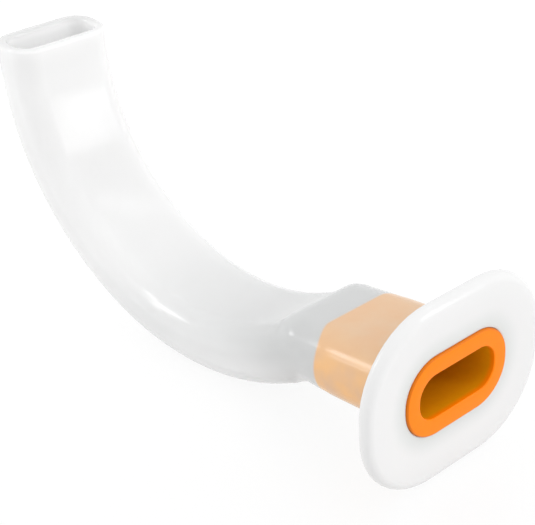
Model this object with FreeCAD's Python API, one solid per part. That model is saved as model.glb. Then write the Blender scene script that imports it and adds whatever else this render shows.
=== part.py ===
import FreeCAD, Part
import math
import os

from FreeCAD import Placement, Rotation, Vector

# Adult oropharyngeal airway, 90 mm nominal length: an oblong flange, a straight bite block with a
# coloured hard sleeve inside it, and a curved throat tube that stays open from end to end.
# It is drawn lying on its convex side. The bite block points along +X, the throat curves up at -X.
# All lengths are in millimetres and all angles in degrees.

# Flange, which stays outside the lips
FLANGE_WIDTH = 33.0
FLANGE_HEIGHT = 26.0
FLANGE_CORNER = 11.7
FLANGE_THICKNESS = 2.0
FLANGE_ROUNDING = 0.8
FLANGE_LEAN = 3.8
CREST_WIDTH = 1.0
DISH_DEPTH = 0.35

# Air passage through the sleeve, and the sleeve that lines the bite block
LUMEN_WIDTH = 14.2
LUMEN_HEIGHT = 6.4
LUMEN_CORNER = 2.9
SLEEVE_WALL = 0.9
SLEEVE_LENGTH = 18.4
SLEEVE_FIT = 0.03
COLLAR_SIDE_LIP = 1.45
COLLAR_TOP_LIP = 1.65
COLLAR_PROUD = 0.3
COLLAR_FLOOR = 0.65
COLLAR_ROUNDING = 0.25

# Bite block, held between the teeth
BLOCK_ROOT_SIDE_WALL = 1.65
BLOCK_ROOT_TOP_WALL = 1.3
BLOCK_END_SIDE_WALL = 1.4
BLOCK_END_TOP_WALL = 0.6
BLOCK_LENGTH = 25.5
SHOULDER_RADIUS = 2.9
ROOT_FILLET = 0.6

# Throat tube, at its root and at its tip
TUBE_WIDTH = 18.0
TUBE_HEIGHT = 8.9
TUBE_CORNER = 3.6
TIP_WIDTH = 17.2
TIP_HEIGHT = 9.0
TIP_CORNER = 3.7
TUBE_WALL = 1.5
TIP_ROUNDING = 0.5

# Centre line behind the block: it dips at the knee, then sweeps up in three arcs
KNEE_START = 20.5
KNEE_RADIUS = 5.6
KNEE_DIP = 29.0
BELLY_RADIUS = 42.7
BELLY_TURN = 35.4
RISE_RADIUS = 38.8
RISE_TURN = 41.3
TIP_RADIUS = 32.5
TIP_TURN = 49.4

# Hidden overlaps between bodies that are joined, and how far cutting tools run past a face
CUT_OVERRUN = 5.0
ROOT_OVERLAP = 2.5
SEAT_OVERLAP = 1.0

# Sizes that follow from the ones above
SLEEVE_GROWTH = 2 * SLEEVE_WALL
CAVITY_GROWTH = SLEEVE_GROWTH + 2 * SLEEVE_FIT
COLLAR_FRONT = DISH_DEPTH - COLLAR_PROUD
COLLAR_BACK = FLANGE_THICKNESS - COLLAR_FLOOR
COLLAR_WIDTH = LUMEN_WIDTH + SLEEVE_GROWTH + 2 * COLLAR_SIDE_LIP
COLLAR_HEIGHT = LUMEN_HEIGHT + SLEEVE_GROWTH + 2 * COLLAR_TOP_LIP
COLLAR_CORNER = LUMEN_CORNER + SLEEVE_WALL + COLLAR_TOP_LIP

LATERAL = Vector(0, 1, 0)
PLANE_TOLERANCE = 1e-4
SETTLING_STEPS = 6


def heading(angle):
    """Direction of travel away from the flange, raised by an angle."""
    return Vector(-math.cos(math.radians(angle)), 0, math.sin(math.radians(angle)))


def station(point, angle):
    """Placement whose local XY plane crosses the passage: X lateral, Y across its height."""
    across = Vector(math.sin(math.radians(angle)), 0, math.cos(math.radians(angle)))
    return Placement(point, Rotation(LATERAL, across, heading(angle) * -1, "ZXY"))


def oblong(width, height, corner, place):
    """Rounded rectangle wire on a station; the corners never pass half of a side."""
    corner = min(corner, 0.499 * width, 0.499 * height)
    half_w = width / 2
    half_h = height / 2
    flat_w = half_w - corner
    flat_h = half_h - corner
    diagonal = corner * math.sqrt(0.5)
    edges = []
    start = Vector(half_w, -flat_h, 0)
    for side_x, side_y in ((1, 1), (-1, 1), (-1, -1), (1, -1)):
        centre = Vector(side_x * flat_w, side_y * flat_h, 0)
        upright = Vector(side_x * half_w, side_y * flat_h, 0)
        level = Vector(side_x * flat_w, side_y * half_h, 0)
        middle = centre + Vector(side_x * diagonal, side_y * diagonal, 0)
        first, last = (upright, level) if side_x * side_y > 0 else (level, upright)
        edges.append(Part.makeLine(start, first))
        edges.append(Part.Arc(first, middle, last).toShape())
        start = last
    wire = Part.Wire(edges)
    wire.Placement = place
    return wire


def prism(width, height, corner, place, length):
    """Oblong bar from a station, running away from the flange."""
    face = Part.Face(oblong(width, height, corner, place))
    direction = place.Rotation.multVec(Vector(0, 0, -1))
    return face.extrude(direction * length)


def arc_end(point, angle, radius, turn):
    """Point and heading angle where an arc ends; a negative turn bends down."""
    side = 1 if turn > 0 else -1
    end_angle = angle + turn
    start_rad = math.radians(angle)
    end_rad = math.radians(end_angle)
    step_x = -radius * side * (math.sin(end_rad) - math.sin(start_rad))
    step_z = radius * side * (math.cos(start_rad) - math.cos(end_rad))
    return point + Vector(step_x, 0, step_z), end_angle


def arc_edge(point, angle, radius, turn):
    """One arc of the centre line, with the point and angle at its end."""
    middle, _ = arc_end(point, angle, radius, turn / 2)
    end, end_angle = arc_end(point, angle, radius, turn)
    return Part.Arc(point, middle, end).toShape(), end, end_angle


def centre_line(point, angle, arcs):
    """Edges of consecutive tangent arcs, with the point and angle at the far end."""
    edges = []
    for radius, turn in arcs:
        edge, point, angle = arc_edge(point, angle, radius, turn)
        edges.append(edge)
    return edges, point, angle


def sweep(edges, first_section, last_section):
    """Closed solid along a path in the XZ plane, tapering from one section to the other."""
    pipe = Part.BRepOffsetAPI.MakePipeShell(Part.Wire(edges))
    pipe.setBiNormalMode(LATERAL)
    pipe.add(first_section)
    pipe.add(last_section)
    pipe.build()
    pipe.makeSolid()
    return pipe.shape()


def edges_across(shape, place, depth):
    """Edges that lie in the plane at a depth behind a station."""
    found = []
    for edge in shape.Edges:
        offsets = [place.inverse().multVec(vertex.Point).z + depth for vertex in edge.Vertexes]
        if max(abs(offset) for offset in offsets) < PLANE_TOLERANCE:
            found.append(edge)
    return found


def behind(place, depth):
    """The same station moved back along its own normal."""
    return place.multiply(Placement(Vector(0, 0, -depth), Rotation()))


FACE = station(Vector(0, 0, 0), FLANGE_LEAN)
MOUTH = station(Vector(0, 0, 0), 0)


def block_oblong(side_wall, top_wall, place):
    """Outline of the bite block: the sleeve's cavity grown by its side and top walls."""
    width = LUMEN_WIDTH + CAVITY_GROWTH + 2 * side_wall
    height = LUMEN_HEIGHT + CAVITY_GROWTH + 2 * top_wall
    return oblong(width, height, LUMEN_CORNER + CAVITY_GROWTH / 2 + top_wall, place)


def lumen_prism(growth, place, length):
    """Straight bar with the mouth's oblong section, grown by a wall on each side."""
    return prism(LUMEN_WIDTH + growth, LUMEN_HEIGHT + growth, LUMEN_CORNER + growth / 2, place, length)


def flange():
    """Oblong plate with a rolled rim, whose outer face dishes towards the mouth."""
    plate = prism(FLANGE_WIDTH, FLANGE_HEIGHT, FLANGE_CORNER, FACE, FLANGE_THICKNESS)
    rims = edges_across(plate, FACE, 0) + edges_across(plate, FACE, FLANGE_THICKNESS)
    plate = plate.makeFillet(FLANGE_ROUNDING, rims)
    inset = FLANGE_ROUNDING + CREST_WIDTH
    rim = oblong(FLANGE_WIDTH - 2 * inset, FLANGE_HEIGHT - 2 * inset, FLANGE_CORNER - inset, FACE)
    floor = oblong(COLLAR_WIDTH, COLLAR_HEIGHT, COLLAR_CORNER, behind(FACE, DISH_DEPTH))
    dish = Part.makeLoft([rim, floor], True, True)
    return plate.cut(dish)


def bite_block():
    """Oblong block, drafted a little, with a rounded shoulder where the throat tube leaves it."""
    hidden_start = behind(MOUTH, FLANGE_THICKNESS / 2)
    root = block_oblong(BLOCK_ROOT_SIDE_WALL, BLOCK_ROOT_TOP_WALL, hidden_start)
    end = block_oblong(BLOCK_END_SIDE_WALL, BLOCK_END_TOP_WALL, behind(MOUTH, BLOCK_LENGTH))
    block = Part.makeLoft([root, end], True, True)
    return block.makeFillet(SHOULDER_RADIUS, edges_across(block, MOUTH, BLOCK_LENGTH))


def flanged_block():
    """Bite block joined to the flange, with a small fillet in the corner between them."""
    joined = flange().fuse(bite_block())
    reach = FLANGE_HEIGHT / 2 - FLANGE_ROUNDING
    corner = []
    for edge in edges_across(joined, FACE, FLANGE_THICKNESS):
        if edge.CenterOfMass.Length < reach:
            corner.append(edge)
    return joined.makeFillet(ROOT_FILLET, corner)


def throat_sections(growth):
    """Width, height and corner of the throat's section at its root and at its tip."""
    root = (TUBE_WIDTH + growth, TUBE_HEIGHT + growth, TUBE_CORNER + growth / 2)
    tip = (TIP_WIDTH + growth, TIP_HEIGHT + growth, TIP_CORNER + growth / 2)
    return root, tip


THROAT_ARCS = ((BELLY_RADIUS, BELLY_TURN), (RISE_RADIUS, RISE_TURN), (TIP_RADIUS, TIP_TURN))


def throat_body():
    """Outside of the curved tube; its root starts inside the bite block."""
    knee = Vector(-KNEE_START, 0, 0)
    point, angle = arc_end(knee, 0, KNEE_RADIUS, -KNEE_DIP)
    edges, tip_point, tip_angle = centre_line(point, angle, THROAT_ARCS)
    buried = point - heading(angle) * ROOT_OVERLAP
    edges.insert(0, Part.makeLine(buried, point))
    root, tip = throat_sections(0)
    tip_station = station(tip_point, tip_angle)
    body = sweep(edges, oblong(*root, station(buried, angle)), oblong(*tip, tip_station))
    return body, tip_station


def air_passage():
    """Inside of the tube, from the sleeve's seat through the knee to the tip."""
    start = Vector(-SLEEVE_LENGTH + SEAT_OVERLAP, 0, 0)
    knee = Vector(-KNEE_START, 0, 0)
    arcs = ((KNEE_RADIUS, -KNEE_DIP),) + THROAT_ARCS
    edges, tip_point, tip_angle = centre_line(knee, 0, arcs)
    edges.insert(0, Part.makeLine(start, knee))
    root, tip = throat_sections(-2 * TUBE_WALL)
    return sweep(edges, oblong(*root, station(start, 0)), oblong(*tip, station(tip_point, tip_angle)))


def collar(growth, front, back):
    """Oblong slab for the sleeve's rim or its recess, parallel to the flange's face."""
    place = behind(FACE, front)
    corner = COLLAR_CORNER + growth / 2
    return prism(COLLAR_WIDTH + growth, COLLAR_HEIGHT + growth, corner, place, back - front)


def airway_tube():
    """Flange, bite block and throat tube, moulded as one piece with the sleeve's seat inside."""
    body, tip_station = throat_body()
    solid = flanged_block().fuse(body)
    solid = solid.cut(air_passage())
    solid = solid.cut(lumen_prism(CAVITY_GROWTH, behind(MOUTH, -CUT_OVERRUN), SLEEVE_LENGTH + CUT_OVERRUN))
    solid = solid.cut(collar(2 * SLEEVE_FIT, -CUT_OVERRUN, COLLAR_BACK))
    return solid.makeFillet(TIP_ROUNDING, edges_across(solid, tip_station, 0))


def bite_insert():
    """Hard sleeve with a collar that seats in the flange's face."""
    hidden_start = (COLLAR_FRONT + COLLAR_BACK) / 2
    sleeve_run = SLEEVE_LENGTH - SLEEVE_FIT - hidden_start
    sleeve = lumen_prism(SLEEVE_GROWTH, behind(MOUTH, hidden_start), sleeve_run)
    solid = collar(0, COLLAR_FRONT, COLLAR_BACK).fuse(sleeve)
    solid = solid.cut(lumen_prism(0, behind(MOUTH, -CUT_OVERRUN), SLEEVE_LENGTH + 2 * CUT_OVERRUN))
    return solid.makeFillet(COLLAR_ROUNDING, edges_across(solid, FACE, COLLAR_FRONT))


def lowest_point(shape, angle):
    """Lowest height of a shape after it is turned about the lateral axis."""
    turned = shape.copy()
    turned.Placement = Placement(Vector(0, 0, 0), Rotation(LATERAL, angle))
    return turned.optimalBoundingBox(False).ZMin


def resting_angle(first, second, span):
    """Turn about the lateral axis that brings two supports to the same height."""
    angle = 0
    for _ in range(SETTLING_STEPS):
        drop = lowest_point(first, angle) - lowest_point(second, angle)
        angle += math.degrees(math.atan2(drop, span))
    return angle


def resting_placement(shape, angle):
    """Placement that stands the turned shape on z = 0, centred above the origin."""
    turned = shape.copy()
    turned.Placement = Placement(Vector(0, 0, 0), Rotation(LATERAL, angle))
    box = turned.optimalBoundingBox(False)
    shift = Vector(-box.Center.x, -box.Center.y, -box.ZMin)
    return Placement(shift, Rotation(LATERAL, angle))


def save(name, shape, place):
    """Write one piece, at rest, to its own STEP file."""
    placed = shape.copy()
    placed.Placement = place
    placed.exportStep(os.path.join("parts", name + ".step"))


os.makedirs("parts", exist_ok=True)
airway = airway_tube()
sleeve = bite_insert()
throat, _ = throat_body()
belly_distance = KNEE_START + BELLY_RADIUS * math.sin(math.radians(KNEE_DIP))
rest_angle = resting_angle(flange(), throat, belly_distance)
rest_place = resting_placement(airway, rest_angle)
save("airway_tube", airway, rest_place)
save("bite_insert", sleeve, rest_place)
print("resting angle", round(rest_angle, 3), "shift", rest_place.Base)
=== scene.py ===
import math

import bmesh
import bpy
from mathutils import Matrix, Vector


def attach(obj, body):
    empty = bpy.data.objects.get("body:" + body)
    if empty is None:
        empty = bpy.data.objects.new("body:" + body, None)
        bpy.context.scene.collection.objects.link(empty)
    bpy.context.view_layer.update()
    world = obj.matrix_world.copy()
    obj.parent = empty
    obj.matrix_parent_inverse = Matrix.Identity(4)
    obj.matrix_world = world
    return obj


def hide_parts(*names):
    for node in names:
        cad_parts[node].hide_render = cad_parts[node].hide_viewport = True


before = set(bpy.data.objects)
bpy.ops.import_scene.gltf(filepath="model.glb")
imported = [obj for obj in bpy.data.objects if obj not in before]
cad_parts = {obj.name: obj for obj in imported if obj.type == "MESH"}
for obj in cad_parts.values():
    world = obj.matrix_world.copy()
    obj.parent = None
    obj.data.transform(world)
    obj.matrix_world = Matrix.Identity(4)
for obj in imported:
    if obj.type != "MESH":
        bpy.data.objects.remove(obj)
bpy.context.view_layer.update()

# Airway tube: flange, bite block and curved throat tube, moulded in one shot of milky polyethylene.
# The wall is about 1.5 mm, open from end to end, and the orange sleeve is pressed in at the flange.
# Its skin is one closed loop of oblong rings, out over the flange and back down the passage.

# Sizes are in millimetres and angles in degrees, in side view with the middle of the mouth at 0.
# An oblong is its width, height and corner radius. A ring is the place of its centre, the angle of
# the passage there, and its oblong.


def heading(angle):
    """Way that the passage runs from the mouth, raised by an angle, in side view."""
    return Vector((-math.cos(math.radians(angle)), math.sin(math.radians(angle))))


def grown(section, side, top=None):
    """Oblong with a wall added on its sides and, where that differs, another on its top and bottom."""
    top = side if top is None else top
    return (section[0] + 2 * side, section[1] + 2 * top, section[2] + top)


def between(first, last, part):
    """Oblong or point part of the way from one to the other."""
    return tuple(a + (b - a) * part for a, b in zip(first, last))


# Flange: it stops the airway at the lips. Its face leans over the block, is a little dished, and
# has a recess for the sleeve's collar, so the sizes of the sleeve that it takes are here too.

FLANGE = (33.0, 26.0, 11.7)
FLANGE_THICKNESS = 2.0
FLANGE_LEAN = 3.8
FACE_ROUNDING = 1.2
BACK_ROUNDING = 0.8
CREST_WIDTH = 0.6
DISH_DEPTH = 0.35

LUMEN = (14.2, 6.4, 2.9)
SLEEVE_WALL = 0.9
SLEEVE_FIT = 0.03
SLEEVE_LENGTH = 18.4
COLLAR_SIDE_LIP = 1.45
COLLAR_TOP_LIP = 1.65
SEAT_WALL = 0.65
SEAT_EDGE = 0.05
RECESS_ROUNDING = 0.12

CAVITY = grown(LUMEN, SLEEVE_WALL + SLEEVE_FIT)
COLLAR = grown(LUMEN, SLEEVE_WALL + COLLAR_SIDE_LIP, SLEEVE_WALL + COLLAR_TOP_LIP)
COLLAR_BACK = FLANGE_THICKNESS - SEAT_WALL

ROUNDING_STEPS = 6
FACE_STEPS = 9
RECESS_STEPS = 3
DISH_STEPS = 12


def face_ring(depth, section):
    """Ring parallel to the flange's face, at a depth behind it."""
    return heading(FLANGE_LEAN) * depth, FLANGE_LEAN, section


def quarter(steps=ROUNDING_STEPS):
    """Sine and cosine pairs round a quarter circle, both ends included."""
    turns = [math.pi / 2 * i / steps for i in range(steps + 1)]
    return [(math.sin(turn), math.cos(turn)) for turn in turns]


def flange_rings():
    """From the seat of the sleeve's collar over the dish and the rounded rim to the flange's back."""
    recess = grown(COLLAR, SLEEVE_FIT)
    rings = [face_ring(COLLAR_BACK, grown(CAVITY, SEAT_EDGE)), face_ring(COLLAR_BACK, recess)]
    for s, c in quarter(RECESS_STEPS):
        section = grown(recess, RECESS_ROUNDING * (1 - c))
        rings.append(face_ring(DISH_DEPTH + RECESS_ROUNDING * (1 - s), section))
    dish = grown(recess, RECESS_ROUNDING)
    crest = grown(FLANGE, -FACE_ROUNDING - CREST_WIDTH)
    for i in range(1, DISH_STEPS + 1):
        part = i / DISH_STEPS
        ease = 0.5 - 0.5 * math.cos(math.pi * part)
        rings.append(face_ring(DISH_DEPTH * (1 - ease), between(dish, crest, part)))
    inner = grown(FLANGE, -FACE_ROUNDING)
    for s, c in quarter(FACE_STEPS):
        rings.append(face_ring(FACE_ROUNDING * (1 - c), grown(inner, FACE_ROUNDING * s)))
    inner = grown(FLANGE, -BACK_ROUNDING)
    for s, c in quarter():
        depth = FLANGE_THICKNESS - BACK_ROUNDING * (1 - s)
        rings.append(face_ring(depth, grown(inner, BACK_ROUNDING * c)))
    return rings


# Bite block: a drafted oblong prism that the teeth close on, with a fillet at the flange. A rounded
# shoulder ends it on top, and the knee below turns the passage down into the throat tube.

BLOCK_LENGTH = 25.5
# Walls at the sides and at top and bottom, at the flange and at the far end.
BLOCK_ROOT_WALLS = (1.65, 1.3)
BLOCK_END_WALLS = (1.4, 0.6)
BLOCK_ROOT = grown(CAVITY, *BLOCK_ROOT_WALLS)
BLOCK_END = grown(CAVITY, *BLOCK_END_WALLS)
ROOT_FILLET = 0.6
SHOULDER_RADIUS = 2.9
SHOULDER_LEAD = 4.0
SHOULDER_APPROACH = 1.5
SHOULDER_SOFTNESS = 0.7
CREASE_BLEND = 2.4
BLEND_REACH = 0.4
LEAN_FADE = 6.0

TUBE_ROOT = (18.0, 8.9, 3.6)
TUBE_TIP = (17.2, 9.0, 3.7)
KNEE_START = 20.5
KNEE_RADIUS = 5.6
KNEE_DIP = 29.0
# Radius of each arc of the throat and the angle that it turns through, from the knee to the tip.
THROAT_ARCS = ((42.7, 35.4), (38.8, 41.3), (32.5, 49.4))

BLOCK_PITCH = 1.5
THROAT_PITCH = 0.8
SHOULDER_STEPS = 40
BLEND_STEPS = 12
BELLY_STEPS = 8
# The rings over the shoulder run on to this station of the throat tube.
LAST_SHOULDER_STATION = 4


def across(angle):
    """Way up across the passage at that angle, in side view."""
    return Vector((math.sin(math.radians(angle)), math.cos(math.radians(angle))))


def block_section(x):
    """Drafted section of the bite block at a distance behind the mouth."""
    return between(BLOCK_ROOT, BLOCK_END, x / BLOCK_LENGTH)


def top_edge(x):
    """Point on the block's top line at a distance behind the mouth."""
    return Vector((-x, block_section(x)[1] / 2))


def bottom_edge(x):
    """Point on the block's bottom line at a distance behind the mouth."""
    return Vector((-x, -block_section(x)[1] / 2))


def arc_step(point, angle, radius, turn):
    """Point and angle at the far end of an arc of the centre line; a negative turn dips."""
    side = 1 if turn > 0 else -1
    start = math.radians(angle)
    end = math.radians(angle + turn)
    step = Vector((math.sin(start) - math.sin(end), math.cos(start) - math.cos(end)))
    return point + step * radius * side, angle + turn


def knee_step(part):
    """Point and angle part of the way round the knee."""
    return arc_step(Vector((-KNEE_START, 0)), 0, KNEE_RADIUS, -KNEE_DIP * part)


def throat_stations():
    """Point, angle and part of the way along, from the knee to the tip."""
    point, angle = knee_step(1)
    total = sum(radius * math.radians(turn) for radius, turn in THROAT_ARCS)
    stations = [(point, angle, 0.0)]
    travelled = 0.0
    for radius, turn in THROAT_ARCS:
        length = radius * math.radians(turn)
        count = round(length / THROAT_PITCH)
        for i in range(1, count + 1):
            place, way = arc_step(point, angle, radius, turn * i / count)
            stations.append((place, way, (travelled + length * i / count) / total))
        point, angle = arc_step(point, angle, radius, turn)
        travelled += length
    return stations


def shoulder_line(knee, dip):
    """Top line round the shoulder's arc and through a soft blend on to the top of the throat tube."""
    shoulder = BLOCK_LENGTH - SHOULDER_RADIUS
    throat_top = knee + across(dip) * TUBE_ROOT[1] / 2
    centre = top_edge(shoulder) - Vector((0, SHOULDER_RADIUS))
    arc = []
    for degree in range(90):
        turn = math.radians(degree)
        point = centre + Vector((-math.sin(turn), math.cos(turn))) * SHOULDER_RADIUS
        if (point - throat_top).dot(across(dip)) < 0:
            break
        arc.append((point, Vector((-math.cos(turn), -math.sin(turn)))))
    crease = arc[-1][0]
    arc = [(point, way) for point, way in arc if (point - crease).length > CREASE_BLEND]
    before, way = arc[-1]
    after = crease + heading(dip) * CREASE_BLEND
    reach = (after - before).length * BLEND_REACH
    leaving = before + way * reach
    arriving = after - heading(dip) * reach
    points = [top_edge(shoulder - SHOULDER_APPROACH)] + [point for point, _ in arc]
    for i in range(1, BLEND_STEPS + 1):
        p = i / BLEND_STEPS
        q = 1 - p
        points.append(before * q ** 3 + leaving * 3 * q * q * p + arriving * 3 * q * p * p + after * p ** 3)
    return points


def belly_line(kink, dip):
    """Bottom line through a soft blend from the block's underside to that of the throat tube."""
    start = kink + Vector((CREASE_BLEND, 0))
    end = kink + heading(dip) * CREASE_BLEND
    points = []
    for i in range(BELLY_STEPS + 1):
        p = i / BELLY_STEPS
        points.append(start * (1 - p) ** 2 + kink * 2 * p * (1 - p) + end * p * p)
    return points


def along(points, part):
    """Point at a part of the length of a line of points."""
    lengths = [(b - a).length for a, b in zip(points, points[1:])]
    left = sum(lengths) * part
    for a, b, length in zip(points, points[1:], lengths):
        if left <= length or b is points[-1]:
            return a + (b - a) * min(1.0, left / max(length, 1e-9))
        left -= length


def ring_between(top, bottom, width, corner):
    """Oblong ring from its highest and lowest points in side view, the corner held under half of it."""
    rise = top - bottom
    angle = math.degrees(math.atan2(rise.x, rise.y))
    return (top + bottom) / 2, angle, (width, rise.length, min(corner, 0.49 * rise.length))


def block_rings():
    """From the flange's back along the bite block, over its shoulder, to the throat tube."""
    rings = []
    for s, c in quarter():
        depth = FLANGE_THICKNESS + ROOT_FILLET * (1 - c)
        rings.append(face_ring(depth, grown(block_section(depth), ROOT_FILLET * (1 - s))))
    stations = throat_stations()
    knee, dip, _ = stations[0]
    underside = knee - across(dip) * TUBE_ROOT[1] / 2
    run = (underside.y - bottom_edge(KNEE_START).y) / -heading(dip).y
    kink = underside + heading(dip) * run
    straight = -kink.x - CREASE_BLEND
    start = FLANGE_THICKNESS + ROOT_FILLET
    stop = straight - SHOULDER_LEAD
    count = round((stop - start) / BLOCK_PITCH)
    for i in range(1, count + 1):
        x = start + (stop - start) * i / count
        lean = FLANGE_LEAN * max(0.0, 1 - (x - start) / LEAN_FADE)
        rings.append((Vector((-x, 0)), lean, block_section(x)))
    first = block_section(stop)
    last_point, last_angle, last_part = stations[LAST_SHOULDER_STATION]
    last = between(TUBE_ROOT, TUBE_TIP, last_part)
    last_top = last_point + across(last_angle) * last[1] / 2
    last_bottom = last_point - across(last_angle) * last[1] / 2
    top = [top_edge(stop)] + shoulder_line(knee, dip) + [last_top]
    bottom = [bottom_edge(stop), bottom_edge(straight)] + belly_line(kink, dip) + [last_bottom]
    for i in range(1, SHOULDER_STEPS + 1):
        part = i / SHOULDER_STEPS
        ease = part * part * (3 - 2 * part)
        width, _, corner = between(first, last, ease)
        corner += SHOULDER_SOFTNESS * math.sin(math.pi * part)
        rings.append(ring_between(along(top, part), along(bottom, part), width, corner))
    return rings


# Throat tube: it follows the tongue in three arcs that tighten towards the open tip, whose lip is
# rounded. The passage runs back inside it and widens into the cavity that holds the sleeve.

TUBE_WALL = 1.5
TIP_ROUNDING = 0.5
KNEE_STEPS = 8
CAVITY_STEPS = 8


def throat_rings():
    """Along the outside of the throat tube, over the lip of the tip and back down the passage."""
    stations = throat_stations()
    rings = []
    for point, angle, part in stations[LAST_SHOULDER_STATION + 1:-1]:
        rings.append((point, angle, between(TUBE_ROOT, TUBE_TIP, part)))
    tip, angle, _ = stations[-1]
    inner_tip = grown(TUBE_TIP, -TUBE_WALL)
    for s, c in quarter():
        place = tip - heading(angle) * TIP_ROUNDING * (1 - s)
        rings.append((place, angle, grown(TUBE_TIP, -TIP_ROUNDING * (1 - c))))
    for s, c in quarter():
        place = tip - heading(angle) * TIP_ROUNDING * (1 - c)
        rings.append((place, angle, grown(inner_tip, TIP_ROUNDING * (1 - s))))
    for point, way, part in reversed(stations[:-1]):
        rings.append((point, way, grown(between(TUBE_ROOT, TUBE_TIP, part), -TUBE_WALL)))
    passage = grown(TUBE_ROOT, -TUBE_WALL)
    for i in range(KNEE_STEPS - 1, -1, -1):
        rings.append((*knee_step(i / KNEE_STEPS), passage))
    sleeve_end = Vector((-SLEEVE_LENGTH, 0))
    rings.append((sleeve_end, 0, passage))
    rings.append((sleeve_end, 0, CAVITY))
    for i in range(1, CAVITY_STEPS):
        part = i / CAVITY_STEPS
        x = SLEEVE_LENGTH * (1 - part) + COLLAR_BACK * part
        rings.append((Vector((-x, 0)), FLANGE_LEAN * part, CAVITY))
    return rings


# Skin: the rings of flange, block and throat are joined into one shell, closed and smooth, with
# sharp edges only where the moulding has them.

# The airway rests on the belly of its curve and the lower rim of its flange. MM is in metres.
RESTING_ANGLE = -3.150
REST_SHIFT = Vector((43.68231, 0, 12.99014))
MM = 0.001

CORNER_STEPS = 12
WELD_DISTANCE = 1e-6
SHARP_ANGLE = 40


def side_to_world(place):
    """Place or way in side view, turned to the angle at which the airway rests."""
    x, z = place
    turn = math.radians(RESTING_ANGLE)
    return Vector((x * math.cos(turn) + z * math.sin(turn), 0, -x * math.sin(turn) + z * math.cos(turn)))


def add_node(tree, kind, settings=None, inputs=None):
    """Add one node, set its properties and set or link its inputs."""
    node = tree.nodes.new(kind)
    for name, value in (settings or {}).items():
        setattr(node, name, value)
    for key, value in (inputs or {}).items():
        if isinstance(value, bpy.types.NodeSocket):
            tree.links.new(value, node.inputs[key])
        else:
            node.inputs[key].default_value = value
    return node


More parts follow.
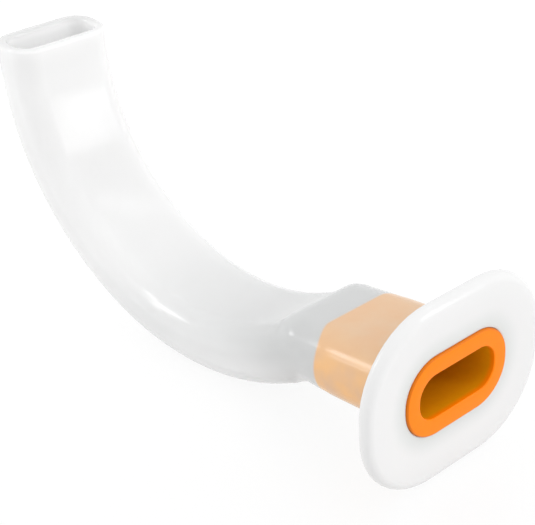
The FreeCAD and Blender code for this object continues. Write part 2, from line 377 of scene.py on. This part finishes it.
def oblong_tree():
    """Geometry Nodes group that joins a line of stations into one closed skin of oblong rings."""
    tree = bpy.data.node_groups.new("oblong_rings", "GeometryNodeTree")
    for name, kind in (
            ("Stations", "NodeSocketGeometry"),
            ("Rings", "NodeSocketInt"),
            ("Corner Steps", "NodeSocketInt"),
            ("Material", "NodeSocketMaterial")):
        tree.interface.new_socket(name, in_out="INPUT", socket_type=kind)
    tree.interface.new_socket("Skin", in_out="OUTPUT", socket_type="NodeSocketGeometry")
    source = add_node(tree, "NodeGroupInput").outputs
    values = {"index": add_node(tree, "GeometryNodeInputIndex").outputs[0],
              "rings": source["Rings"],
              "corner steps": source["Corner Steps"]}
    # Each row names a value and the sum behind it: which station and which turn a point of the skin has.
    # The last column and the last row lie on the first, where they are welded.
    for name, operation, first, second in (
            ("points per corner", "ADD", "corner steps", 1),
            ("points per ring", "MULTIPLY", "points per corner", 4),
            ("rows", "ADD", "rings", 1),
            ("columns", "ADD", "points per ring", 1),
            ("index inside cell", "ADD", "index", 0.5),
            ("column with part", "DIVIDE", "index inside cell", "rows"),
            ("column", "FLOOR", "column with part", 0),
            ("points before column", "MULTIPLY", "column", "rows"),
            ("row", "SUBTRACT", "index", "points before column"),
            ("whole row", "ROUND", "row", 0),
            ("station", "MODULO", "whole row", "rings"),
            ("place", "MODULO", "column", "points per ring"),
            ("place inside cell", "ADD", "place", 0.5),
            ("quadrant with part", "DIVIDE", "place inside cell", "points per corner"),
            ("quadrant", "FLOOR", "quadrant with part", 0),
            ("places before quadrant", "MULTIPLY", "quadrant", "points per corner"),
            ("step", "SUBTRACT", "place", "places before quadrant"),
            ("part of corner", "DIVIDE", "step", "corner steps"),
            ("quarter turns", "ADD", "quadrant", "part of corner"),
            ("turn", "MULTIPLY", "quarter turns", math.pi / 2),
            ("quadrant middle", "ADD", "quadrant", 0.5),
            ("middle turn", "MULTIPLY", "quadrant middle", math.pi / 2),
            ("middle cosine", "COSINE", "middle turn", 0),
            ("middle sine", "SINE", "middle turn", 0),
            ("side", "SIGN", "middle cosine", 0),
            ("top or bottom", "SIGN", "middle sine", 0),
            ("turn cosine", "COSINE", "turn", 0),
            ("turn sine", "SINE", "turn", 0)):
        inputs = {0: values.get(first, first), 1: values.get(second, second)}
        values[name] = add_node(tree, "ShaderNodeMath", {"operation": operation}, inputs).outputs[0]
    for name in ("position", "lean", "width", "height", "corner"):
        kind = {"data_type": "FLOAT_VECTOR" if name == "position" else "FLOAT"}
        written = add_node(tree, "GeometryNodeInputNamedAttribute", kind, {"Name": name}).outputs[0]
        sampled = add_node(tree, "GeometryNodeSampleIndex", kind, {
            "Geometry": source["Stations"], "Index": values["station"], "Value": written})
        values[name] = sampled.outputs[0]
    # The flat sides reach as far as the corner's centre, and the corner turns round that.
    for name, operation, first, second in (
            ("half width", "MULTIPLY", "width", 0.5),
            ("half height", "MULTIPLY", "height", 0.5),
            ("flat half width", "SUBTRACT", "half width", "corner"),
            ("flat half height", "SUBTRACT", "half height", "corner"),
            ("flat sideways", "MULTIPLY", "side", "flat half width"),
            ("flat upwards", "MULTIPLY", "top or bottom", "flat half height"),
            ("round sideways", "MULTIPLY", "corner", "turn cosine"),
            ("round upwards", "MULTIPLY", "corner", "turn sine"),
            ("sideways", "ADD", "flat sideways", "round sideways"),
            ("upwards", "ADD", "flat upwards", "round upwards"),
            ("lean sine", "SINE", "lean", 0),
            ("lean cosine", "COSINE", "lean", 0),
            ("forwards", "MULTIPLY", "upwards", "lean sine"),
            ("rise", "MULTIPLY", "upwards", "lean cosine")):
        inputs = {0: values.get(first, first), 1: values.get(second, second)}
        values[name] = add_node(tree, "ShaderNodeMath", {"operation": operation}, inputs).outputs[0]
    grid = add_node(tree, "GeometryNodeMeshGrid", None, {
        "Vertices X": values["columns"], "Vertices Y": values["rows"]})
    offset = add_node(tree, "ShaderNodeCombineXYZ", None, {
        "X": values["forwards"], "Y": values["sideways"], "Z": values["rise"]})
    spot = add_node(tree, "ShaderNodeVectorMath", {"operation": "ADD"}, {
        0: values["position"], 1: offset.outputs[0]})
    skin = add_node(tree, "GeometryNodeSetPosition", None, {
        "Geometry": grid.outputs["Mesh"], "Position": spot.outputs[0]})
    welded = add_node(tree, "GeometryNodeMergeByDistance", None, {
        "Geometry": skin.outputs[0], "Distance": WELD_DISTANCE})
    smooth = add_node(tree, "GeometryNodeSetShadeSmooth", None, {"Geometry": welded.outputs[0]})
    realized = add_node(tree, "GeometryNodeRealizeInstances", None, {"Geometry": smooth.outputs[0]})
    coated = add_node(tree, "GeometryNodeSetMaterial", None, {
        "Geometry": realized.outputs[0], "Material": source["Material"]})
    add_node(tree, "NodeGroupOutput", None, {"Skin": coated.outputs[0]})
    return tree


RINGS_TREE = oblong_tree()


def ring_skin(name, rings, material):
    """Mesh object whose closed skin runs through the rings, at the place where it rests."""
    path = bpy.data.meshes.new(name + "_stations")
    path.from_pydata([(side_to_world(place) + REST_SHIFT) * MM for place, _, _ in rings], [], [])
    for key, values in (
            ("lean", [math.radians(angle + RESTING_ANGLE) for _, angle, _ in rings]),
            ("width", [section[0] * MM for _, _, section in rings]),
            ("height", [section[1] * MM for _, _, section in rings]),
            ("corner", [section[2] * MM for _, _, section in rings])):
        path.attributes.new(key, "FLOAT", "POINT").data.foreach_set("value", values)
    holder = bpy.data.objects.new(name + "_path", path)
    bpy.context.scene.collection.objects.link(holder)
    modifier = holder.modifiers.new("rings", "NODES")
    modifier.node_group = RINGS_TREE
    items = [item for item in RINGS_TREE.interface.items_tree if item.in_out == "INPUT"]
    sockets = {item.name: item.identifier for item in items}
    modifier[sockets["Rings"]] = len(rings)
    modifier[sockets["Corner Steps"]] = CORNER_STEPS
    modifier[sockets["Material"]] = material
    evaluated = holder.evaluated_get(bpy.context.evaluated_depsgraph_get())
    mesh = bpy.data.meshes.new_from_object(evaluated)
    holder.modifiers.remove(modifier)
    bpy.data.objects.remove(holder)
    shell = bmesh.new()
    shell.from_mesh(mesh)
    bmesh.ops.recalc_face_normals(shell, faces=shell.faces)
    for edge in shell.edges:
        edge.smooth = edge.calc_face_angle(0) < math.radians(SHARP_ANGLE)
    shell.to_mesh(mesh)
    shell.free()
    mesh.name = name
    piece = bpy.data.objects.new(name, mesh)
    bpy.context.scene.collection.objects.link(piece)
    return piece


# Milky polyethylene: the looks of the moulding. The plastic is cloudy, so the sleeve shows through it
# as tan in the block. The throat tube's greys and whites are painted light and shade, not its own colour.

# The clouds and the waves of the flow are drawn coarser than the real ones, to show in the picture.
CLOUD_SIZE = 3.5
FLOW_HEIGHT = 0.05
# Plastic bends the light, so the sleeve's end looks nearer the mouth than it is, most at the sides.
MIDDLE_HALF = 5.0
SIDE_HALF = 9.4
MIDDLE_NEARER = 0.6
SIDE_NEARER = 1.8
SLEEVE_END_BLUR = 0.25
FLANGE_BACK_MARGIN = 0.05
# Width of the painted shade round the collar on the flange.
COLLAR_SHADOW = 3.2
WALL_MARGIN = 0.3
LIGHT_REACH = 3.0

SMOOTH = {"interpolation_type": "SMOOTHSTEP"}
COLOUR = {"data_type": "RGBA"}


def srgb(code):
    """Linear colour of an sRGB hex value such as F0A030."""
    values = []
    for i in (0, 2, 4):
        value = int(code[i:i + 2], 16) / 255
        values.append(value / 12.92 if value <= 0.04045 else ((value + 0.055) / 1.055) ** 2.4)
    return (*values, 1.0)


def depth_behind_mouth(tree, coordinates, lean):
    """Socket with the distance behind the mouth, square to a face that leans by an angle."""
    from_mouth = add_node(tree, "ShaderNodeVectorMath", {"operation": "SUBTRACT"}, {
        0: coordinates, 1: REST_SHIFT * MM})
    depth = add_node(tree, "ShaderNodeVectorMath", {"operation": "DOT_PRODUCT"}, {
        0: from_mouth.outputs[0], 1: side_to_world(heading(lean))})
    return depth.outputs["Value"]


def distance_aside(tree, coordinates):
    """Socket with the distance to either side of the airway's middle plane."""
    split = add_node(tree, "ShaderNodeSeparateXYZ", None, {0: coordinates})
    return add_node(tree, "ShaderNodeMath", {"operation": "ABSOLUTE"}, {0: split.outputs["Y"]}).outputs[0]


def distance_outwards(tree, aside, upright, section):
    """Socket with the distance from an oblong's core, the part of it between its corners' centres."""
    place = add_node(tree, "ShaderNodeCombineXYZ", None, {"X": aside, "Y": upright})
    core = ((section[0] / 2 - section[2]) * MM, (section[1] / 2 - section[2]) * MM, 0)
    past = add_node(tree, "ShaderNodeVectorMath", {"operation": "SUBTRACT"}, {0: place.outputs[0], 1: core})
    past = add_node(tree, "ShaderNodeVectorMath", {"operation": "MAXIMUM"}, {
        0: past.outputs[0], 1: (0, 0, 0)})
    distance = add_node(tree, "ShaderNodeVectorMath", {"operation": "LENGTH"}, {0: past.outputs[0]})
    return distance.outputs["Value"]


def distance_round_mouth(tree, coordinates, section):
    """Socket with the distance outwards from the core of an oblong round the mouth."""
    split = add_node(tree, "ShaderNodeSeparateXYZ", None, {0: coordinates})
    raised = add_node(tree, "ShaderNodeMath", {"operation": "SUBTRACT"}, {
        0: split.outputs["Z"], 1: REST_SHIFT.z * MM})
    upright = add_node(tree, "ShaderNodeMath", {"operation": "ABSOLUTE"}, {0: raised.outputs[0]})
    return distance_outwards(tree, distance_aside(tree, coordinates), upright.outputs[0], section)


def distance_round_last_arc(tree, coordinates, section):
    """Socket with the distance outwards from the core of an oblong along the throat's last arc."""
    radius = THROAT_ARCS[-1][0]
    tip, angle, _ = throat_stations()[-1]
    centre = tip + across(angle) * radius
    offset = add_node(tree, "ShaderNodeVectorMath", {"operation": "SUBTRACT"}, {
        0: coordinates, 1: (side_to_world(centre) + REST_SHIFT) * MM})
    offset = add_node(tree, "ShaderNodeVectorMath", {"operation": "MULTIPLY"}, {
        0: offset.outputs[0], 1: (1, 0, 1)})
    reach = add_node(tree, "ShaderNodeVectorMath", {"operation": "LENGTH"}, {0: offset.outputs[0]})
    raised = add_node(tree, "ShaderNodeMath", {"operation": "SUBTRACT"}, {
        0: reach.outputs["Value"], 1: radius * MM})
    upright = add_node(tree, "ShaderNodeMath", {"operation": "ABSOLUTE"}, {0: raised.outputs[0]})
    return distance_outwards(tree, distance_aside(tree, coordinates), upright.outputs[0], section)


def polyethylene():
    """Low-density polyethylene, moulded: milky and clouded, waxy, with a soft satin gloss.

    The bite block is thin and close round the sleeve, so the orange shows through as a dull tan.
    The throat tube's grey at the block, paling to white towards the tip, is painted shade and light,
    as are a grey halo round the collar, a darker lip and a paler passage at the tip.
    """
    material = bpy.data.materials.new("milky_polyethylene_moulded")
    material.use_nodes = True
    tree = material.node_tree
    shader = tree.nodes["Principled BSDF"]
    coordinates = add_node(tree, "ShaderNodeTexCoord").outputs["Object"]
    height = add_node(tree, "ShaderNodeSeparateXYZ", None, {0: coordinates}).outputs["Z"]
    depth = depth_behind_mouth(tree, coordinates, 0)
    nearer = add_node(tree, "ShaderNodeMapRange", SMOOTH, {
        "Value": distance_aside(tree, coordinates), "From Min": MIDDLE_HALF * MM, "From Max": SIDE_HALF * MM,
        "To Min": MIDDLE_NEARER * MM, "To Max": SIDE_NEARER * MM})
    seen_depth = add_node(tree, "ShaderNodeMath", {"operation": "ADD"}, {0: depth, 1: nearer.outputs[0]})
    face_depth = depth_behind_mouth(tree, coordinates, FLANGE_LEAN)
    from_collar = distance_round_mouth(tree, coordinates, COLLAR)
    from_passage = distance_round_last_arc(tree, coordinates, TUBE_TIP)
    shares = {}
    # Each row is a share that grows from 0 to 1 while its distance passes from one length to the other.
    for name, distance, first, last in (
            ("behind flange", face_depth, FLANGE_THICKNESS + FLANGE_BACK_MARGIN,
             FLANGE_THICKNESS + ROOT_FILLET),
            ("behind sleeve", seen_depth.outputs[0],
             SLEEVE_LENGTH - SLEEVE_END_BLUR, SLEEVE_LENGTH + SLEEVE_END_BLUR),
            # Painted shade and light on the throat tube: grey at the shoulder, paling along it towards the
            # tip.
            ("past shoulder", depth, 25, 31),
            ("lightening", depth, 30, 72),
            ("near tip", depth, 50, 80),
            # Painted shade: a grey halo on the flange round the collar.
            ("off collar", from_collar, COLLAR[2], COLLAR[2] + COLLAR_SHADOW),
            ("up the block", height, 12, 20),
            # Painted light and shade low on the throat: lighter sides near the block, darker ones further
            # on.
            ("off the floor", height, 2, 13),
            # Painted shade on the top of the tip and its lip, and painted light inside the passage there.
            ("up to tip", height, 33, 41),
            ("lip shading", height, 40.3, 41.2),
            ("off the passage", from_passage,
             TUBE_TIP[2] - TUBE_WALL + WALL_MARGIN, TUBE_TIP[2] - WALL_MARGIN)):
        shares[name] = add_node(tree, "ShaderNodeMapRange", SMOOTH, {
            "Value": distance, "From Min": first * MM, "From Max": last * MM}).outputs[0]
    cloud = add_node(tree, "ShaderNodeTexNoise", None, {
        "Vector": coordinates, "Scale": 1 / (CLOUD_SIZE * MM), "Detail": 2}).outputs[0]
    shares["clouded"] = add_node(tree, "ShaderNodeMapRange", SMOOTH, {
        "Value": cloud, "From Min": 0.2, "From Max": 0.8}).outputs[0]
    colours = {
        # Painted shade for the halo round the collar:
        "painted collar shade": srgb("D2D5D4"),
        "flange white": srgb("E0E0E0"),
        "dark tan": srgb("D9B18C"),
        "low tan": srgb("EBB678"),
        "pink tan": srgb("D0B69D"),
        # The greys and whites from here on are painted light and shade on the throat tube.
        "side grey": srgb("E4E4E4"),
        "top grey": srgb("C4C5C5"),
        "face grey": srgb("C7C8C8"),
        "low white": srgb("DADBDB"),
        "high white": srgb("ECECEC"),
        "passage white": srgb("EEEEEE"),
        "throat pale": srgb("E7E7E7"),
        "tip pale": srgb("E0E0E0"),
        "edge grey": srgb("CBCBCB")}
    # Each row mixes a new colour: the share of the second of the two colours comes first.
    for name, share, first, second in (
            # These rows, down to the one for the tube, paint light and shade on the throat tube.
            ("upper grey", "past shoulder", "top grey", "face grey"),
            ("throat grey", "off the floor", "side grey", "upper grey"),
            ("throat white", "off the floor", "low white", "high white"),
            ("throat", "lightening", "throat grey", "throat white"),
            # Painted shade darkens the tip's top and lip; painted light pales the passage inside it.
            ("end", "up to tip", "throat pale", "tip pale"),
            ("end lit inside", "off the passage", "passage white", "end"),
            ("shaded lip", "lip shading", "end lit inside", "edge grey"),
            ("tube", "near tip", "throat", "shaded lip"),
            ("even tan", "up the block", "low tan", "pink tan"),
            ("seen sleeve", "clouded", "dark tan", "even tan"),
            ("block", "behind sleeve", "seen sleeve", "tube"),
            # Painted shade round the collar on the flange.
            ("flange", "off collar", "painted collar shade", "flange white"),
            ("body", "behind flange", "flange", "block")):
        colours[name] = add_node(tree, "ShaderNodeMix", COLOUR, {
            "Factor": shares[share], 6: colours[first], 7: colours[second]}).outputs[2]
    tree.links.new(colours["body"], shader.inputs["Base Color"])
    milky = add_node(tree, "ShaderNodeMath", {"operation": "MULTIPLY"}, {0: shares["behind sleeve"], 1: 0.9})
    tree.links.new(milky.outputs[0], shader.inputs["Subsurface Weight"])
    shader.inputs["Subsurface Radius"].default_value = (1.0, 1.0, 1.0)
    shader.inputs["Subsurface Scale"].default_value = LIGHT_REACH * MM
    satin = add_node(tree, "ShaderNodeMapRange", None, {
        "Value": shares["clouded"], "To Min": 0.14, "To Max": 0.19})
    tree.links.new(satin.outputs[0], shader.inputs["Roughness"])
    shader.inputs["IOR"].default_value = 1.51
    shader.inputs["Specular IOR Level"].default_value = 0.28
    flow = add_node(tree, "ShaderNodeBump", None, {
        "Strength": 0.25, "Distance": FLOW_HEIGHT * MM, "Height": cloud})
    tree.links.new(flow.outputs[0], shader.inputs["Normal"])
    return material


airway = ring_skin("airway_tube_skin", flange_rings() + block_rings() + throat_rings(), polyethylene())
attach(airway, "root")
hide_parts("airway_tube")

# Sleeve: a hard orange polypropylene liner that keeps the passage open against the bite.
# It is moulded separately, pushed into the block from the front, and its collar seats in the flange.

COLLAR_PROUD = 0.3
COLLAR_ROUNDING = 0.25
SLEEVE_ROUNDING = 0.2
SLEEVE_STEPS = 8
# The grain is drawn coarser than the real one, to show in the picture.
GRAIN_SIZE = 0.8
# Depths between which the colour of the face turns into that of the passage.
PASSAGE_START = 0.2
PASSAGE_FULL = 1.2
# Distances inside the collar's rim at which a painted shadow line begins to darken its edge and is darkest.
SEAT_SHADOW_START = 0.35
SEAT_SHADOW_FULL = 0.1


def sleeve_rings():
    """Round the collar's face, down the air passage and back along the outside of the sleeve."""
    front = DISH_DEPTH - COLLAR_PROUD
    end = SLEEVE_LENGTH - SLEEVE_FIT
    rings = []
    for s, c in quarter():
        depth = front + COLLAR_ROUNDING * (1 - s)
        rings.append(face_ring(depth, grown(COLLAR, -COLLAR_ROUNDING * (1 - c))))
    for s, c in quarter():
        depth = front + SLEEVE_ROUNDING * (1 - c)
        rings.append(face_ring(depth, grown(LUMEN, SLEEVE_ROUNDING * (1 - s))))
    for i in range(1, SLEEVE_STEPS + 1):
        part = i / SLEEVE_STEPS
        x = (front + SLEEVE_ROUNDING) * (1 - part) + (end - SLEEVE_ROUNDING) * part
        rings.append((Vector((-x, 0)), FLANGE_LEAN * (1 - part), LUMEN))
    outside = grown(LUMEN, SLEEVE_WALL)
    rings.append((Vector((-end, 0)), 0, grown(LUMEN, SLEEVE_ROUNDING)))
    rings.append((Vector((-end, 0)), 0, grown(outside, -SLEEVE_ROUNDING)))
    for i in range(SLEEVE_STEPS + 1):
        part = i / SLEEVE_STEPS
        x = (end - SLEEVE_ROUNDING) * (1 - part) + COLLAR_BACK * part
        rings.append((Vector((-x, 0)), FLANGE_LEAN * part, outside))
    rings.append(face_ring(COLLAR_BACK, COLLAR))
    return rings


def polypropylene():
    """Polypropylene, moulded and coloured in the mass: opaque, saturated orange with a dull gloss.

    The passage is a deeper, browner orange, and a painted shadow line darkens the collar's edge where it
    meets the flange.
    """
    material = bpy.data.materials.new("orange_polypropylene_moulded")
    material.use_nodes = True
    tree = material.node_tree
    shader = tree.nodes["Principled BSDF"]
    coordinates = add_node(tree, "ShaderNodeTexCoord").outputs["Object"]
    depth = depth_behind_mouth(tree, coordinates, FLANGE_LEAN)
    inside = add_node(tree, "ShaderNodeMapRange", SMOOTH, {
        "Value": depth, "From Min": PASSAGE_START * MM, "From Max": PASSAGE_FULL * MM})
    # Painted shadow: a dark line round the collar's edge where it meets the flange.
    seat_shadow = add_node(tree, "ShaderNodeMapRange", SMOOTH, {
        "Value": distance_round_mouth(tree, coordinates, COLLAR),
        "From Min": (COLLAR[2] - SEAT_SHADOW_START) * MM, "From Max": (COLLAR[2] - SEAT_SHADOW_FULL) * MM})
    grain = add_node(tree, "ShaderNodeTexNoise", None, {
        "Vector": coordinates, "Scale": 1 / (GRAIN_SIZE * MM), "Detail": 2}).outputs[0]
    face = add_node(tree, "ShaderNodeMix", COLOUR, {
        "Factor": grain, 6: srgb("F87E00"), 7: srgb("FF8600")})
    passage = add_node(tree, "ShaderNodeMix", COLOUR, {
        "Factor": grain, 6: srgb("D68D06"), 7: srgb("DF960A")})
    shadow_edged = add_node(tree, "ShaderNodeMix", COLOUR, {
        "Factor": seat_shadow.outputs[0], 6: face.outputs[2], 7: srgb("DC7414")})
    colour = add_node(tree, "ShaderNodeMix", COLOUR, {
        "Factor": inside.outputs[0], 6: shadow_edged.outputs[2], 7: passage.outputs[2]})
    tree.links.new(colour.outputs[2], shader.inputs["Base Color"])
    dulled = add_node(tree, "ShaderNodeMapRange", None, {"Value": grain, "To Min": 0.28, "To Max": 0.38})
    tree.links.new(dulled.outputs[0], shader.inputs["Roughness"])
    shader.inputs["IOR"].default_value = 1.49
    shader.inputs["Specular IOR Level"].default_value = 0.15
    return material


sleeve = ring_skin("bite_insert_skin", sleeve_rings(), polypropylene())
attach(sleeve, "root")
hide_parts("bite_insert")

# Floor: a sheet of satin white acrylic under the airway.
# It is pale enough to be lost in the white room and keeps a faint shadow of the airway.

FLOOR_HALF = 1.5
FLOOR_GLOW = 0.92


def seen_directly(tree):
    """Socket that is 1 for what the camera sees, also in gloss and through glass, and 0 for light."""
    path = add_node(tree, "ShaderNodeLightPath").outputs
    seen = add_node(tree, "ShaderNodeMath", {"operation": "MAXIMUM"}, {
        0: path["Is Camera Ray"], 1: path["Is Glossy Ray"]})
    seen = add_node(tree, "ShaderNodeMath", {"operation": "MAXIMUM"}, {
        0: seen.outputs[0], 1: path["Is Transmission Ray"]})
    return seen.outputs[0]


def white_sheet():
    """White acrylic sheet, satin: pale, with a faint soft shadow and no clear mirror image."""
    material = bpy.data.materials.new("white_acrylic_satin")
    material.use_nodes = True
    tree = material.node_tree
    shader = tree.nodes["Principled BSDF"]
    shader.inputs["Roughness"].default_value = 0.5
    seen = seen_directly(tree)
    sheet = add_node(tree, "ShaderNodeMix", COLOUR, {"Factor": seen, 6: srgb("F0F0F0"), 7: srgb("2C2C2C")})
    tree.links.new(sheet.outputs[2], shader.inputs["Base Color"])
    strength = add_node(tree, "ShaderNodeMath", {"operation": "MULTIPLY"}, {0: seen, 1: FLOOR_GLOW})
    glow = add_node(tree, "ShaderNodeEmission", None, {
        "Color": (1, 1, 1, 1), "Strength": strength.outputs[0]})
    total = add_node(tree, "ShaderNodeAddShader", None, {0: shader.outputs[0], 1: glow.outputs[0]})
    tree.links.new(total.outputs[0], tree.nodes["Material Output"].inputs["Surface"])
    return material


floor_mesh = bpy.data.meshes.new("floor")
floor_corners = [(x * FLOOR_HALF, y * FLOOR_HALF, 0) for x, y in ((-1, -1), (1, -1), (1, 1), (-1, 1))]
floor_mesh.from_pydata(floor_corners, [], [(0, 1, 2, 3)])
floor_mesh.materials.append(white_sheet())
floor = bpy.data.objects.new("floor", floor_mesh)
bpy.context.scene.collection.objects.link(floor)

# Room: an even white all round the airway, plain white to the camera and in the gloss of the
# plastics, and a little weaker as light.

ROOM_LIGHT = 0.92

world = bpy.data.worlds.new("white_room")
bpy.context.scene.world = world
world.use_nodes = True
background = world.node_tree.nodes["Background"]
strength = add_node(world.node_tree, "ShaderNodeMapRange", None, {
    "Value": seen_directly(world.node_tree), "To Min": ROOM_LIGHT, "To Max": 1.0})
world.node_tree.links.new(strength.outputs[0], background.inputs["Strength"])
background.inputs["Color"].default_value = (1, 1, 1, 1)

# Lamps: a window of light for the square highlight near the tip, a large soft one overhead, three
# small ones for the bright lines on the corners and across the curve, and a weak fill from the front.

LAMP_TARGET = Vector((0, 0, 20)) * MM

# Each lamp has its azimuth from -Y towards +X and its elevation in degrees, its distance, width and
# height in metres, its power in watts, and whether it shows in the gloss.
for name, azimuth, elevation, distance, width, height, power, in_gloss in (
        ("window_soft_box", 124, 17, 0.6, 0.13, 0.30, 0.6, True),
        ("overhead_soft_box", 95, 52, 0.7, 0.5, 0.5, 0.92, False),
        ("near_strip", -39.8, 30.7, 0.6, 0.06, 0.32, 0.46, True),
        ("far_strip", -47.5, 29.2, 0.58, 0.08, 0.11, 0.27, True),
        ("high_strip", 159, 55.5, 0.59, 0.2, 0.03, 0.07, True),
        ("fill_soft_box", -20, 4, 0.7, 0.6, 0.3, 0.08, False)):
    lamp = bpy.data.lights.new(name, "AREA")
    lamp.shape = "RECTANGLE"
    lamp.size = width
    lamp.size_y = height
    lamp.energy = power
    around = math.radians(azimuth)
    raised = math.radians(elevation)
    level = math.cos(raised)
    way = Vector((math.sin(around) * level, -math.cos(around) * level, math.sin(raised)))
    holder = bpy.data.objects.new(name, lamp)
    holder.location = LAMP_TARGET + way * distance
    holder.rotation_euler = (-way).to_track_quat("-Z", "Y").to_euler()
    holder.visible_glossy = in_gloss
    bpy.context.scene.collection.objects.link(holder)

# Camera: it looks down on the flange's face from its near side, with the tip at the far left.
# Its place is in millimetres, and its focal length and optical centre are in pixels of the frame.

CAMERA_PLACE = Vector((138.881, -112.899, 109.040))
CAMERA_AZIMUTH = 47.732
CAMERA_ELEVATION = 30.150
CAMERA_ROLL = -2.865
FOCAL_PIXELS = 1385.5
FRAME_WIDTH = 535
FRAME_HEIGHT = 525
OPTICAL_CENTRE = (300.6, 315.3)

camera_data = bpy.data.cameras.new("camera")
camera_data.sensor_width = 36.0
camera_data.lens = FOCAL_PIXELS * camera_data.sensor_width / FRAME_WIDTH
camera_data.shift_x = (FRAME_WIDTH / 2 - OPTICAL_CENTRE[0]) / FRAME_WIDTH
camera_data.shift_y = (OPTICAL_CENTRE[1] - FRAME_HEIGHT / 2) / FRAME_WIDTH
camera_data.clip_start = 0.01
camera = bpy.data.objects.new("camera", camera_data)
turn = Matrix.Rotation(math.radians(CAMERA_AZIMUTH), 4, "Z")
tilt = Matrix.Rotation(math.radians(90 - CAMERA_ELEVATION), 4, "X")
roll = Matrix.Rotation(math.radians(CAMERA_ROLL), 4, "Z")
camera.matrix_world = Matrix.Translation(CAMERA_PLACE * MM) @ turn @ tilt @ roll
bpy.context.scene.collection.objects.link(camera)
bpy.context.scene.camera = camera
bpy.context.scene.view_settings.view_transform = "Standard"
